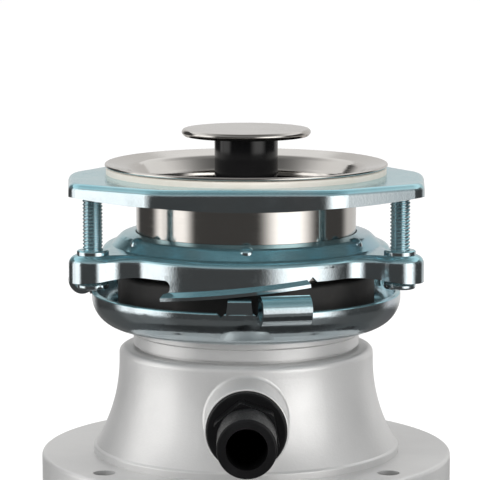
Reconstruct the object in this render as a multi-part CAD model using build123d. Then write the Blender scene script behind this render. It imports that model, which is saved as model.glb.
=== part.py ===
"""A kitchen food-waste disposer with its three-bolt sink mount, one STEP file per piece.

Frame: millimetres, +Z up. The origin is the centre of the foot ring, on the surface the disposer
stands on. The motor, the turntable, the neck and the sink flange all share the Z axis. The
dishwasher inlet points along -Y and the discharge port along +X. "Bearing" angles on the mount
are counted from the front (-Y) towards +X.
"""

import os
from math import acos, asin, atan2, cos, degrees, hypot, pi, radians, sin, tan

from build123d import *

# ---------------------------------------------------------------- driving sizes, from the foot ring upwards
cap_height = 24.0  # bottom cap
shell_height = 98.0  # motor shell
chamber_height = 56.0  # grind chamber
skirt_height = 16.3  # skirt of the hopper, down to the parting line
flare_height = 42.9  # hopper, from its shelf to its shoulder
step_rise = 8.7  # shoulder to the step that carries the lower ring
neck_rise = 8.1  # that step to the top of the neck
guard_web = 6.0  # rubber between the neck and the end of the sleeve
sleeve_length = 52.0  # sink flange, rim to the end of its sleeve

# ---------------------------------------------------------------- driving sizes, from the axis outwards
sleeve_radius = 44.45  # outside of the sleeve, for a 3 1/2 inch sink hole
rim_width = 12.7  # rim of the sink flange past its sleeve
flange_sheet = 1.2  # stainless sheet of the sink flange
neck_inset = 0.65  # neck inside the sleeve's outer radius
neck_wall = 3.8
step_width = 2.2  # step that carries the lower ring
guard_wall = 8.2  # rubber outside the neck
guard_gap = 4.5  # guard to the inside of the mounting ring
shoulder_width = 7.8  # shoulder of the hopper past its neck
flare_spread = 10.6  # foot of the flare past the shoulder
shelf_width = 21.1  # shelf past the foot of the flare
shell_step = 7.3  # motor shell inside the drum
casting_wall = 3.5

# ---------------------------------------------------------------- clearances
slip = 0.4  # a part that is lowered over or into another
snug = 0.05  # a part that is pressed or drawn home
run = 0.05  # radial running clearance of a shaft
free = 0.5  # a moving part past a fixed one

# ---------------------------------------------------------------- sink mount
plated_sheet = 2.0  # zinc-plated steel of the three stampings
rim_edge = 1.3  # thickness seen at the edge of the rim
rim_fall = 2.4  # how far the dished rim falls towards the throat
rim_land = 9.2  # width of the dished rim
throat_bend = 6.0
sleeve_lip = 3.2  # lip turned in at the end of the sleeve, the stopper's seat
rim_gasket_thickness = 3.0
rim_gasket_inset = 0.5
rim_gasket_width = 6.6
bolt_offset = 11.1  # bolt circle past the mounting ring's wall
lobe_radius = 9.5
backup_side = 5.0  # side of the backup flange past the mounting ring's wall
backup_hole_gap = 3.6
backup_half_side = 28.0  # half the straight front of the backup flange
backup_corner = 20.0
backup_skirt = 8.5
backup_lobe_lift = 0.2  # rise of the skirt's edge per mm of radius, towards each lobe
ring_waist = 13.0  # hollow curve between the mounting ring and each of its ears
stamping_round = 3.0
bolt_radius = 3.97  # 5/16 inch
bolt_head_radius = 6.2
bolt_head_height = 2.7
bolt_slot = 1.4
collar_radius = 6.3
collar_height = 1.8
ramp_lip = 3.2  # lip of a ramp past the mounting ring's wall
ramp_lip_edge = 1.3
ramp_lip_fall = 1.9  # how far the lip slopes down outwards
lip_root = 0.6  # how deep the root of a lip lies in the wall
ramp_relief = 2.6  # radius of the rounded end of the gap beside each ramp
ramp_start, ramp_end = -33.0, 24.0  # bearings of one ramp's ends, degrees
ramp_rise = 5.9
ring_lift = 1.8  # edge of the skirt above the high end of a ramp
ring_lobe_drop = 3.6  # fall of the skirt's edge out to the lobes
ramp_gap = 0.6  # hook below the ramp it lies under
ramp_back = 3.0  # how far the lower ring turns back before a hook meets its ramp, degrees
ring_skirt = 8.3
ring_cone = 5.0
dimple_radius = 3.2
snap_wire = 1.25  # radius of the snap ring's wire
snap_gap_angle = 24.0

# ---------------------------------------------------------------- lower ring
dish_depth = 14.1
dish_reach = 0.9  # rim of the dish past the ramps' lips, less the wall between
dish_bend = dish_depth - 2.1
hook_rise = 5.0
hook_width = 10.8
hook_reach = 7.5
hook_taper = 0.9
hook_notch = 2.6
hook_bearing = -2.5
curl_radius = 5.7  # rolled tube that takes the turning bar
curl_length = 19.3
curl_bearing = 12.5
curl_sink = 0.5
curl_lift = 2.0  # axis of the tube above the dish's rim
strap_thickness = 1.6  # foot that joins a tube to the dish
strap_drop = 3.4

# ---------------------------------------------------------------- stopper
knob_radius = 26.3
knob_thickness = 2.9
knob_lift = 10.7  # underside of the knob above the rim
stem_radius = 12.8
stem_wall = 2.5
plug_thickness = 4.0
plug_inset = 6.0
seal_thickness = 5.0
seal_bite = 1.5

# ---------------------------------------------------------------- splash guard
guard_cuff = 8.0  # rubber up the outside of the sleeve
guard_inner = 3.0
guard_inner_drop = 8.0
flap_thickness = 2.0
flap_fall = 7.0
flap_hole = 14.0
flap_count = 8
flap_slit = 0.8

# ---------------------------------------------------------------- hopper
shelf_plate = 4.0
shelf_round = 1.5
shoulder_round = 2.5
flare_top = 5.2  # straight part of the flare below the shoulder
foot_bead = 3.4
groove_base = 1.2
groove_depth = 0.6
band_height = 4.3
seat_depth = 10.0  # how far the shredder ring is pressed into the hopper
screw_bearing = 50.0
screw_inset = 10.55  # screws inside the edge of the drum
screw_radius = 2.2
screw_head_radius = 4.1
screw_head_height = 2.6
screw_hole_gap = 0.3
counterbore_depth = 6.6
column_radius = 7.8
screw_length = 30.0

# ---------------------------------------------------------------- dishwasher inlet
inlet_drop = 20.4  # axis below the shoulder
boss_radius = 16.3
boss_reach = 22.6  # boss past the shoulder radius
boss_fillet = 1.4
inlet_gasket_thickness = 0.8
collar_disc_radius = 15.3
collar_disc_thickness = 2.5
hex_flats = 23.0
hex_length = 8.5
hex_turn = 10.0
pipe_radius = 11.3
pipe_bore = 7.8
pipe_reach = 22.0
stub_radius = 10.6
stub_length = 17.0

# ---------------------------------------------------------------- grinding
shredder_wall = 2.0
shredder_hang = 21.0  # shredder ring below the parting line
shredder_slots = 24
shredder_slot_width = 3.0
shredder_slot_height = 12.0
turntable_gap = 1.0
turntable_thickness = 2.5
turntable_drop = 15.5  # top of the turntable below the parting line
turntable_holes = 12
turntable_hole_radius = 2.2
turntable_hub_radius = 11.0
turntable_hub_height = 5.0
lug_thickness = 5.0
lug_radius = 8.0
lug_reach = 12.0
lug_circle = 33.0
rivet_radius = 4.0
rivet_head_radius = 6.5
rivet_head_height = 2.0
nut_flats = 17.0
nut_height = 7.0

# ---------------------------------------------------------------- chamber and discharge
chamber_wall = 4.0
chamber_floor = 5.0
hub_radius = 17.0
hub_gap = 8.0  # hub below the hub of the turntable
hub_drop = 6.0
spigot_height = 5.0
spigot_wall = 3.0
chamber_gasket_thickness = 0.8
port_rise = 26.0  # port axis above the underside of the chamber
port_bore = 16.5
port_boss = 23.0
port_reach = 8.5
port_flange = 6.0
ear_offset = 31.0
ear_radius = 7.5
ear_screw_radius = 2.5
ear_screw_head_radius = 4.5
ear_screw_head_height = 3.0
port_gasket_thickness = 2.5
tail_radius = 19.05  # 1 1/2 inch tailpipe
tail_wall = 2.4
tail_flange = 4.0
tail_run = 9.5
tail_bend = 32.0
tail_drop = 34.0
clamp_plate = 2.0

# ---------------------------------------------------------------- motor
shell_sheet = 1.6
shaft_radius = 6.0
shaft_end = 14.0  # lower end of the shaft above the foot ring
wrench_flats = 6.35
wrench_depth = 9.0
bush_wall = 4.5
bush_length = 18.0
seal_wall = 7.0
seal_height = 5.0
stack_height = 45.0
stack_rise = 28.0  # stator above the bottom of the shell
rotor_radius = 35.0
air_gap = 0.6
stator_slots = 24
slot_width = 5.0
slot_depth = 17.0
winding_height = 14.0
winding_inset = 2.5
winding_lift = 0.6
end_ring_height = 6.0
end_ring_width = 9.0
bell_thickness = 6.0
bell_hub_radius = 15.0
bell_hub_drop = 7.0
bell_hub_rise = 7.0
bell_windows = 6
tie_radius = 2.25
tie_inset = 5.2
tie_head_radius = 4.0
tie_head_height = 3.0
tie_bearing = 45.0
thrust_thickness = 1.2
thrust_collar = 1.2  # collar of the shaft above the thrust washer
governor_radius = 15.0
governor_height = 6.0
governor_travel = 2.0
switch_length, switch_width, switch_height = 26.0, 11.0, 7.6

# ---------------------------------------------------------------- bottom cap
cap_wall = 2.2
cap_reach = 1.6  # cap past the motor shell
cap_recess = 4.0  # floor of the cap above its foot ring
foot_width = 7.0
cap_vents = 18
vent_length = 13.0
vent_width = 2.6
wrench_hole = 9.0
cap_screw_circle = 52.0
cap_screw_radius = 2.0
cap_screw_head_radius = 3.8
cap_screw_head_height = 2.4
cap_post_radius = 5.0
conduit_radius = 11.1
conduit_circle = 50.0
conduit_bearing = 150.0
cover_bearing = 60.0
button_bearing = 300.0
protector_radius = 9.0
protector_height = 12.0
protector_circle = 33.0
button_radius = 4.0
button_proud = 1.6
cover_length, cover_width, cover_thickness = 40.0, 30.0, 1.5
cover_circle = 43.0

# ---------------------------------------------------------------- heights worked out from those above
shell_z = cap_height
chamber_z = shell_z + shell_height
parting_z = chamber_z + chamber_height
shelf_z = parting_z + skirt_height
shoulder_z = shelf_z + flare_height
step_z = shoulder_z + step_rise
neck_z = step_z + neck_rise
sleeve_end_z = neck_z + guard_web
rim_z = sleeve_end_z + sleeve_length
dish_rim_z = step_z + dish_depth
hook_top_z = dish_rim_z + hook_rise
backup_top_z = rim_z - rim_edge - rim_gasket_thickness
backup_edge_z = backup_top_z - backup_skirt
turntable_z = parting_z - turntable_drop
hub_top_z = turntable_z - turntable_thickness - turntable_hub_height - hub_gap
inlet_z = shoulder_z - inlet_drop
port_z = chamber_z + port_rise
stack_z = shell_z + stack_rise
bell_top_z = shell_z + bell_thickness + 2.0

# ---------------------------------------------------------------- radii worked out from those above
rim_radius = sleeve_radius + rim_width
sleeve_bore = sleeve_radius - flange_sheet
neck_radius = sleeve_radius - neck_inset
neck_bore = neck_radius - neck_wall
step_radius = neck_radius + step_width
guard_radius = neck_radius + guard_wall
ring_wall_radius = guard_radius + guard_gap + plated_sheet
bolt_circle = ring_wall_radius + bolt_offset
lip_radius = ring_wall_radius + ramp_lip
dish_radius = lip_radius + dish_reach
curl_circle = dish_radius + curl_radius - curl_sink
backup_radius = ring_wall_radius + backup_side
shoulder_radius = neck_radius + shoulder_width
flare_radius = shoulder_radius + flare_spread
drum_radius = flare_radius + shelf_width
screw_circle = drum_radius - screw_inset
shredder_radius = flare_radius + 1.3
turntable_radius = shredder_radius - shredder_wall - turntable_gap
shell_radius = drum_radius - shell_step
shell_bore = shell_radius - shell_sheet
stator_radius = shell_bore - snug
stator_bore = rotor_radius + air_gap
tie_circle = stator_radius - tie_inset
bush_radius = shaft_radius + run + bush_wall
boss_end_y = -(shoulder_radius + boss_reach)

# ---------------------------------------- heights of the mounting ring, over the hooks
hook_swing = degrees(hook_width / 2 / dish_radius)
hook_share = (hook_bearing - hook_swing - ramp_back - ramp_start) / (ramp_end - ramp_start)
ramp_low_z = hook_top_z + ramp_gap - ramp_rise * hook_share
ring_edge_z = ramp_low_z + ramp_rise + ring_lift
ring_shoulder_z = ring_edge_z + ring_skirt
ring_top_z = ring_shoulder_z + ring_cone
port_face_x = drum_radius + port_reach


# ================================================================ helpers
def profile(*corners):
    """A face in the XZ plane through (r, z) corners; a third number rounds that corner."""
    face = make_face(Polyline(*[corner[:2] for corner in corners], close=True))
    for corner in corners:
        if len(corner) == 3:
            nearest = face.vertices().sort_by_distance(Vector(*corner[:2]))[0]
            face = fillet(nearest, corner[2])
    return Plane.XZ * face


def turned(*corners):
    """A solid of revolution about Z, from profile corners."""
    return revolve(profile(*corners), Axis.Z)


def hoops(body, radius, height):
    """The circular edges of a body of revolution at a radius and a height."""
    rings = body.edges().filter_by(GeomType.CIRCLE)
    return [e for e in rings if abs(e.radius - radius) < 0.01 and abs(e.arc_center.Z - height) < 0.01]


def rod(radius, low, high, x=0.0, y=0.0):
    """An upright cylinder between two heights."""
    return Pos(x, y, low) * Cylinder(radius, high - low, align=(Align.CENTER, Align.CENTER, Align.MIN))


def tube(outer, inner, low, high, x=0.0, y=0.0):
    """An upright hollow cylinder between two heights."""
    return rod(outer, low, high, x, y) - rod(inner, low - 1, high + 1, x, y)


def hexagon_rod(flats, low, high):
    """An upright hexagonal prism."""
    return extrude(Pos(0, 0, low) * RegularPolygon(flats / 2, 6, major_radius=False), high - low)


def block(length, width, low, high, x=0.0, y=0.0):
    """An upright rectangular block centred on x, y."""
    return Pos(x, y, low) * Box(length, width, high - low, align=(Align.CENTER, Align.CENTER, Align.MIN))


def at_bearing(shape, bearing):
    """Turns a shape built at the front (-Y) to a bearing, in degrees towards +X."""
    return Rot(0, 0, bearing) * shape


def around(shape, count, start=0.0):
    """The shape, built at the front, repeated evenly about Z."""
    return [at_bearing(shape, start + 360.0 * i / count) for i in range(count)]


def spot(circle, bearing):
    """The x, y of a bearing on a circle."""
    return circle * sin(radians(bearing)), -circle * cos(radians(bearing))


lobe_bearings = (60.0, 180.0, 300.0)
screw_bearings = (screw_bearing, 180 - screw_bearing, 180 + screw_bearing, -screw_bearing)
tie_bearings = [tie_bearing + 90 * i for i in range(4)]
cap_screw_bearings = (0.0, 120.0, 240.0)


def eared_outline(side_radius, tip_radius, waist):
    """Plan of a ring with three ears, each run into the ring by hollow curves."""
    outline = Circle(side_radius)
    for bearing in lobe_bearings:
        x, y = spot(bolt_circle, bearing)
        ear = Pos(x / 2, y / 2) * Rot(0, 0, bearing) * Rectangle(2 * tip_radius, bolt_circle)
        outline = outline + ear + Pos(x, y) * Circle(tip_radius)
    return offset(offset(outline, waist), -waist)


def sided_outline(inset):
    """Plan of the backup flange, drawn in by an inset: three straight sides and three ears."""
    rounds = []
    for side in (0, 120, 240):
        out_x, out_y = spot(backup_radius - backup_corner, side)
        along_x, along_y = spot(backup_half_side, side + 90)
        rounds.append((out_x - along_x, out_y - along_y, backup_corner))
        rounds.append((out_x + along_x, out_y + along_y, backup_corner))
        rounds.append((*spot(bolt_circle, side + 60), lobe_radius))
    points = []
    for (x, y, radius), (next_x, next_y, next_radius) in zip(rounds, rounds[1:] + rounds[:1]):
        across, up = next_x - x, next_y - y
        lean = atan2(up, across) - acos((radius - next_radius) / hypot(across, up))
        for at_x, at_y, size in ((x, y, radius), (next_x, next_y, next_radius)):
            points.append((at_x + (size - inset) * cos(lean), at_y + (size - inset) * sin(lean)))
    outline = make_face(Polyline(*points, close=True))
    for x, y, radius in rounds:
        outline += Pos(x, y) * Circle(radius - inset)
    return outline


def pressed(outline, low, high, round_top):
    """A slab on an outline, with its top edge rounded."""
    slab = extrude(Pos(0, 0, low) * outline, high - low)
    return fillet(slab.faces().sort_by(Axis.Z)[-1].edges(), round_top)


# ================================================================ sink mount
def rim_underside(radius):
    """Height of the dished rim's underside at a radius."""
    return rim_z - rim_edge - rim_fall * (rim_radius - radius) / rim_land


def sink_flange():
    """Drawn stainless flange: dished rim, throat, sleeve with a snap-ring groove, and a lip turned in."""
    rim = rim_radius - rim_land
    body = turned(
        (rim_radius, rim_z - rim_edge, 0.5),
        (rim_radius, rim_z, 0.6),
        (rim, rim_z - rim_fall, 4.0),
        (sleeve_bore, rim_z - rim_fall - 6.0, throat_bend - 1.0),
        (sleeve_bore, sleeve_end_z + flange_sheet, 0.6),
        (sleeve_bore - sleeve_lip, sleeve_end_z + flange_sheet),
        (sleeve_bore - sleeve_lip, sleeve_end_z),
        (sleeve_radius, sleeve_end_z, 1.5),
        (sleeve_radius, rim_z - rim_fall - 7.0, throat_bend - 1.0),
        (rim - 0.4, rim_underside(rim), 3.0),
    )
    groove = revolve(profile(*circle_box(sleeve_radius + 0.35, snap_z(), snap_wire - 0.25)), Axis.Z)
    return body - groove


def circle_box(radius, height, half):
    """Corners of a small square section, used for grooves."""
    return [
        (radius - half, height - half),
        (radius + half, height - half),
        (radius + half, height + half),
        (radius - half, height + half),
    ]


def snap_z():
    """Height of the snap ring's wire: it carries the mounting ring's inner edge."""
    return ring_top_z - plated_sheet - snap_wire - 0.6


def snap_ring():
    """Open ring of round wire in the sleeve's groove."""
    wire_circle = sleeve_radius + snap_wire - 0.25
    ring = Pos(0, 0, snap_z()) * Torus(wire_circle, snap_wire)
    inner = rod(sleeve_radius + snug, snap_z() - 5, snap_z() + 5)
    width = 2 * wire_circle * tan(radians(snap_gap_angle / 2))
    return ring - inner - block(width, wire_circle, snap_z() - 5, snap_z() + 5, 0, wire_circle)


def rim_gasket():
    """Rubber ring between the rim and what it seals on."""
    outer = rim_radius - rim_gasket_inset
    inner = outer - rim_gasket_width
    return turned(
        (outer, backup_top_z),
        (outer, rim_underside(outer) - snug, 0.8),
        (inner, rim_underside(inner) - snug),
        (inner, backup_top_z),
    )


def backup_flange():
    """Three-lobed pressed plate under the sink, with a turned-down skirt that is shallower at the lobes."""
    outer = pressed(sided_outline(0), backup_edge_z - 2, backup_top_z, stamping_round)
    inner = pressed(
        sided_outline(plated_sheet),
        backup_edge_z - 3,
        backup_top_z - plated_sheet,
        stamping_round - plated_sheet,
    )
    reach = bolt_circle + 2 * lobe_radius
    rise = (reach - backup_radius) * backup_lobe_lift
    below = turned(
        (0, backup_edge_z - 10),
        (reach, backup_edge_z - 10),
        (reach, backup_edge_z + rise),
        (backup_radius, backup_edge_z),
        (0, backup_edge_z),
    )
    hole = rod(sleeve_radius + backup_hole_gap, backup_edge_z - 5, backup_top_z + 5)
    return outer - inner - below - hole


def mounting_bolts():
    """Three slotted screws, up through the mounting ring onto the underside of the backup flange."""
    tip_z = backup_top_z - plated_sheet
    head_z = ring_edge_z - ring_lobe_drop / 2 - bolt_head_height - 0.7
    x, y = spot(bolt_circle, 0)
    shank = rod(bolt_radius, head_z, tip_z, x, y)
    shank = chamfer(shank.edges().sort_by(Axis.Z)[-1], 0.6)
    head = rod(bolt_head_radius, head_z, head_z + bolt_head_height, x, y)
    head = fillet(head.edges().sort_by(Axis.Z)[0], 0.8)
    slot = block(3 * bolt_head_radius, bolt_slot, head_z - 1, head_z + 1.2, x, y)
    return around(shank + head - slot, 3, lobe_bearings[0])


def ring_shell(inset):
    """Outside of the mounting ring, drawn in by an inset: a cone on a lobed skirt."""
    slab = pressed(
        eared_outline(ring_wall_radius - inset, lobe_radius - inset, ring_waist + inset),
        ramp_low_z - 10,
        ring_shoulder_z - inset,
        stamping_round + 0.6 - inset,
    )
    foot = ring_wall_radius - stamping_round - 1.0
    brow = sleeve_radius + 6.0
    cone = turned(
        (0, ring_shoulder_z - 4),
        (foot, ring_shoulder_z - 4),
        (foot, ring_shoulder_z - inset),
        (brow, ring_top_z - 1.0 - inset, 3.0),
        (sleeve_radius, ring_top_z - inset),
        (0, ring_top_z - inset),
    )
    return slab + cone


def ramp():
    """One ramp of the mounting ring: a piece of wall with an inclined lip turned out at its foot."""
    sweep = ramp_end - ramp_start
    middle = (ramp_start + ramp_end) / 2
    wall_in = ring_wall_radius - plated_sheet
    # The root of the lip is buried in the wall, so that its hollow curve meets the wall at an angle.
    root = ring_wall_radius - lip_root
    lip_back = ramp_lip_edge + ramp_lip_fall
    section = profile(
        (wall_in + lip_root / 2, ramp_lip_fall),
        (lip_radius - 1.0, 0),
        (lip_radius, 0),
        (lip_radius, ramp_lip_edge),
        (root, lip_back, 1.5),
        (root, lip_back + 2.0),
        (wall_in + lip_root / 2, lip_back + 2.0),
    )
    tilt = degrees(asin(ramp_rise / (2 * ring_wall_radius * sin(radians(sweep / 2)))))

    def leaning(body):
        return at_bearing(Pos(0, 0, ramp_low_z + ramp_rise / 2) * Rot(0, -tilt, 0) * body, middle)

    # A revolved section starts in the XZ plane at +X, a quarter turn ahead of the front.
    lip = leaning(at_bearing(revolve(section, Axis.Z, sweep), -90 - sweep / 2))
    strip = profile(
        (wall_in, ramp_low_z - 5),
        (ring_wall_radius, ramp_low_z - 5),
        (ring_wall_radius, ring_edge_z + 2.0),
        (wall_in, ring_edge_z + 2.0),
    )
    wall = at_bearing(revolve(strip, Axis.Z, sweep), middle - 90 - sweep / 2)
    reach = 2 * bolt_circle
    wall -= leaning(block(reach, reach, -30, ramp_lip_fall + lip_root))
    relief = Pos(0, -ring_wall_radius, ring_edge_z - ramp_relief) * Rot(90, 0, 0)
    return wall + lip - at_bearing(relief * Cylinder(ramp_relief, 4 * plated_sheet), ramp_start)


def mounting_ring():
    """Stamped ring that carries the three bolts and the three ramps."""
    reach = bolt_circle + 2 * lobe_radius
    below = turned(
        (0, ramp_low_z - 20),
        (reach, ramp_low_z - 20),
        (reach, ring_edge_z - ring_lobe_drop),
        (ring_wall_radius, ring_edge_z),
        (0, ring_edge_z),
    )
    ring = ring_shell(0) - ring_shell(plated_sheet) - below
    notch = Pos(0, -ring_wall_radius, ring_edge_z) * Rot(0, 45, 0) * Box(2.8, 5 * plated_sheet, 2.8)
    for piece in around(notch, 3, ramp_end + 2.0):
        ring -= piece
    for piece in around(ramp(), 3):
        ring += piece
    dimple_circle = sleeve_radius + 5.0
    for i in range(6):
        x, y = spot(dimple_circle, 60 * i)
        ring += Pos(x, y, ring_top_z - dimple_radius + 0.15) * Sphere(dimple_radius)
    hollow = rod(ring_wall_radius - stamping_round - 2, ring_edge_z, ring_top_z + 5)
    ring -= ring_shell(plated_sheet) & hollow
    for bearing in lobe_bearings:
        x, y = spot(bolt_circle, bearing)
        collar = rod(collar_radius, ring_shoulder_z - plated_sheet, ring_shoulder_z + collar_height, x, y)
        collar = fillet(collar.edges().sort_by(Axis.Z)[-1], 0.8)
        ring += collar
        ring -= rod(bolt_radius + snug, ring_edge_z - 20, ring_top_z + 5, x, y)
    return ring - rod(sleeve_radius + slip, ring_edge_z - 20, ring_top_z + 5)


def neck_gasket():
    """Rubber gasket on the neck, with a cuff round the sleeve and a seat for the splash guard."""
    return turned(
        (guard_radius, step_z + plated_sheet + free, 1.0),
        (guard_radius, sleeve_end_z + guard_cuff, 1.5),
        (sleeve_radius + slip, sleeve_end_z + guard_cuff),
        (sleeve_radius + slip, sleeve_end_z - snug),
        (guard_seat_radius(), sleeve_end_z - snug),
        (guard_seat_radius(), neck_z + snug),
        (neck_radius + snug, neck_z + snug),
        (neck_radius + snug, step_z + plated_sheet + free),
    )


def guard_seat_radius():
    """Radius where the splash guard's rim meets the neck gasket."""
    return neck_bore + neck_wall / 2


def splash_guard():
    """Rubber diaphragm across the throat: a rim held in the neck gasket and a slit cone of flaps."""
    inner = neck_bore - snug - guard_inner
    flap_z = neck_z + guard_web - 2.0
    body = turned(
        (guard_seat_radius() - snug, neck_z + snug),
        (guard_seat_radius() - snug, sleeve_end_z - snug),
        (inner, sleeve_end_z - snug, 1.0),
        (inner, flap_z),
        (flap_hole, flap_z - flap_fall, 0.5),
        (flap_hole, flap_z - flap_fall - flap_thickness, 0.5),
        (inner, flap_z - flap_thickness),
        (inner, neck_z - guard_inner_drop),
        (neck_bore - snug, neck_z - guard_inner_drop),
        (neck_bore - snug, neck_z + snug),
    )
    slit_length = inner - flap_hole - 3
    slit_middle = flap_hole - 2 + slit_length / 2
    slit = block(flap_slit, slit_length, step_z - 20, rim_z, 0, -slit_middle)
    for piece in around(slit, flap_count):
        body -= piece
    return body


# ================================================================ lower ring
def lower_ring():
    """Dished ring that turns on the neck's step, with three hooks."""
    hole = neck_radius + slip
    floor = step_z + 0.1
    ring = turned(
        (hole, floor),
        (dish_radius, floor, dish_bend),
        (dish_radius, dish_rim_z, 0.8),
        (dish_radius - plated_sheet, dish_rim_z),
        (dish_radius - plated_sheet, floor + plated_sheet, dish_bend - plated_sheet),
        (hole, floor + plated_sheet),
    )
    hook_face = -(dish_radius - 0.2)
    tab = make_face(
        Polyline(
            (-hook_width / 2, dish_rim_z - 2.5),
            (-hook_width / 2 + hook_taper, hook_top_z),
            (hook_width / 2 - hook_taper, hook_top_z),
            (hook_width / 2, dish_rim_z - 2.5),
            close=True,
        )
    )
    tab = Pos(0, hook_face + plated_sheet, 0) * extrude(Plane.XZ * tab, plated_sheet)
    top = block(
        hook_width - 2 * hook_taper,
        hook_reach,
        hook_top_z - plated_sheet,
        hook_top_z,
        0,
        hook_face + hook_reach / 2,
    )
    hook = fillet((tab + top).edges().filter_by(Axis.X).sort_by(Axis.Z)[-2:], 0.9)
    wedge = Rot(0, 45, 0) * Box(hook_notch, 3 * plated_sheet, hook_notch)
    notch = Pos(0, hook_face, dish_rim_z + 0.2) * wedge
    half_swing = degrees((hook_width + 1.4 * hook_notch) / 2 / dish_radius)
    for bearing in (hook_bearing - half_swing, hook_bearing + half_swing):
        for piece in around(notch, 3, bearing):
            ring -= piece
    for piece in around(hook, 3, hook_bearing):
        ring += piece
    return ring


def turning_tubes():
    """Three rolled tubes on the outside of the lower ring, which take the turning bar."""
    middle_z = dish_rim_z + curl_lift
    lying = Pos(0, -curl_circle, middle_z) * Rot(0, 90, 0)
    dish = rod(dish_radius + snug, step_z - 5, rim_z)
    tube = lying * Cylinder(curl_radius, curl_length)
    tube -= lying * Cylinder(curl_radius - plated_sheet, curl_length + 2)
    strap = block(
        curl_length,
        plated_sheet + strap_thickness,
        dish_rim_z - strap_drop,
        middle_z,
        0,
        -(dish_radius + (strap_thickness - plated_sheet) / 2),
    )
    tube -= dish
    strap -= dish
    strap -= lying * Cylinder(curl_radius - plated_sheet / 2, curl_length + 2)
    return around(tube + strap, 3, curl_bearing)


# ================================================================ stopper
def stopper_floor():
    """Height of the stopper seal's underside: just clear of the sleeve's lip."""
    return sleeve_end_z + flange_sheet + 0.3


def stopper_cap():
    """Polished disc on top of the stopper."""
    low = rim_z + knob_lift
    return turned(
        (0, low),
        (knob_radius - 1.2, low, 0.6),
        (knob_radius, low + knob_thickness / 2, 1.0),
        (knob_radius - 0.9, low + knob_thickness, 1.2),
        (0, low + knob_thickness),
    )


def stopper_stem():
    """Moulded stem and plug of the stopper, hollow from below, with ribs under the plug."""
    low = stopper_floor() + seal_thickness / 2 - plug_thickness / 2
    plug_radius = sleeve_bore - plug_inset
    top = rim_z + knob_lift
    body = turned(
        (stem_radius - stem_wall, low),
        (plug_radius, low, 0.8),
        (plug_radius, low + plug_thickness, 0.8),
        (stem_radius, low + plug_thickness, 3.0),
        (stem_radius, top),
        (0, top),
        (0, top - stem_wall),
        (stem_radius - stem_wall, top - stem_wall),
    )
    rib_length = plug_radius - stem_radius - 3
    rib = block(
        2.0,
        rib_length,
        low + plug_thickness - 1,
        low + plug_thickness + 9,
        0,
        -(stem_radius + rib_length / 2 - 0.5),
    )
    for piece in around(rib, 4, 45):
        body += piece
    return body


def stopper_seal():
    """Rubber ring round the plug."""
    low = stopper_floor()
    outer = sleeve_bore - 0.45
    groove = sleeve_bore - plug_inset
    lip = groove - seal_bite
    middle = low + seal_thickness / 2
    gap = plug_thickness / 2 + snug
    return turned(
        (lip, low),
        (outer, low, 1.6),
        (outer, low + seal_thickness, 1.6),
        (lip, low + seal_thickness),
        (lip, middle + gap),
        (groove + snug, middle + gap),
        (groove + snug, middle - gap),
        (lip, middle - gap),
    )


# ================================================================ hopper and its inlet
def flared(inset, bottom, top, corners_below, corners_above):
    """A solid of revolution whose side follows the flare, drawn in by an inset."""
    top_point = (shoulder_radius - inset, shoulder_z - flare_top)
    foot_point = (flare_radius - 1.0 - inset, shelf_z + foot_bead)
    side = TangentArc(top_point, foot_point, tangent=(0, -1))
    below = Polyline((0, bottom), *corners_below, foot_point)
    above = Polyline(top_point, *corners_above, (0, top))
    axis = Line((0, top), (0, bottom))
    section = make_face([*below.edges(), *side.edges(), *above.edges(), axis])
    return revolve(Plane.XZ * section, Axis.Z)


def hopper_outside():
    """Outside of the hopper: foot bead, flare, shoulder, grooved base of the neck, step and neck."""
    base_radius = step_radius - 3 * groove_depth
    band = shoulder_z + groove_base
    band_radius = step_radius - groove_depth / 3
    body = flared(
        0.0,
        shelf_z,
        neck_z,
        [(flare_radius, shelf_z), (flare_radius, shelf_z + foot_bead - 0.8)],
        [
            (shoulder_radius, shoulder_z),
            (base_radius, shoulder_z),
            (base_radius, band),
            (band_radius, band),
            (band_radius, band + band_height),
            (step_radius - groove_depth, band + band_height + groove_depth / 2),
            (step_radius, band + band_height + groove_depth),
            (step_radius, step_z),
            (neck_radius, step_z),
            (neck_radius, neck_z),
        ],
    )
    body += along_front(boss_radius, 0, boss_end_y)
    curved = [edge for edge in body.edges() if edge.geom_type == GeomType.BSPLINE]
    root = [edge for edge in curved if edge.center().Y < -shoulder_radius / 2]
    body = fillet(root, boss_fillet)
    ends = [e for e in body.edges().filter_by(GeomType.CIRCLE) if abs(e.center().Y - boss_end_y) < 0.01]
    body = fillet(ends, 0.8)
    for radius, height, size in (
        (shoulder_radius, shoulder_z, shoulder_round),
        (flare_radius, shelf_z + foot_bead - 0.8, 0.6),
        (step_radius, step_z, 0.4),
    ):
        body = fillet(hoops(body, radius, height), size)
    return body


def foot_bore():
    """Radius of the hollow at the foot of the flare, which the drum cover shares."""
    return flare_radius - 1.0 - casting_wall


def hopper():
    """Cast hopper, a hollow flare and neck with the inlet's bore."""
    ceiling = shoulder_z - casting_wall
    hollow = flared(
        casting_wall,
        shelf_z - 1,
        neck_z + 1,
        [(foot_bore(), shelf_z - 1)],
        [(shoulder_radius - casting_wall, ceiling), (neck_bore, ceiling), (neck_bore, neck_z + 1)],
    )
    hollow = fillet(hoops(hollow, shoulder_radius - casting_wall, ceiling), 2.0)
    body = hopper_outside() - hollow
    body -= along_front(stub_radius + snug, -(shoulder_radius - casting_wall), boss_end_y - 1)
    return body - along_front(pipe_bore, -neck_bore, boss_end_y - 1)


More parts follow.
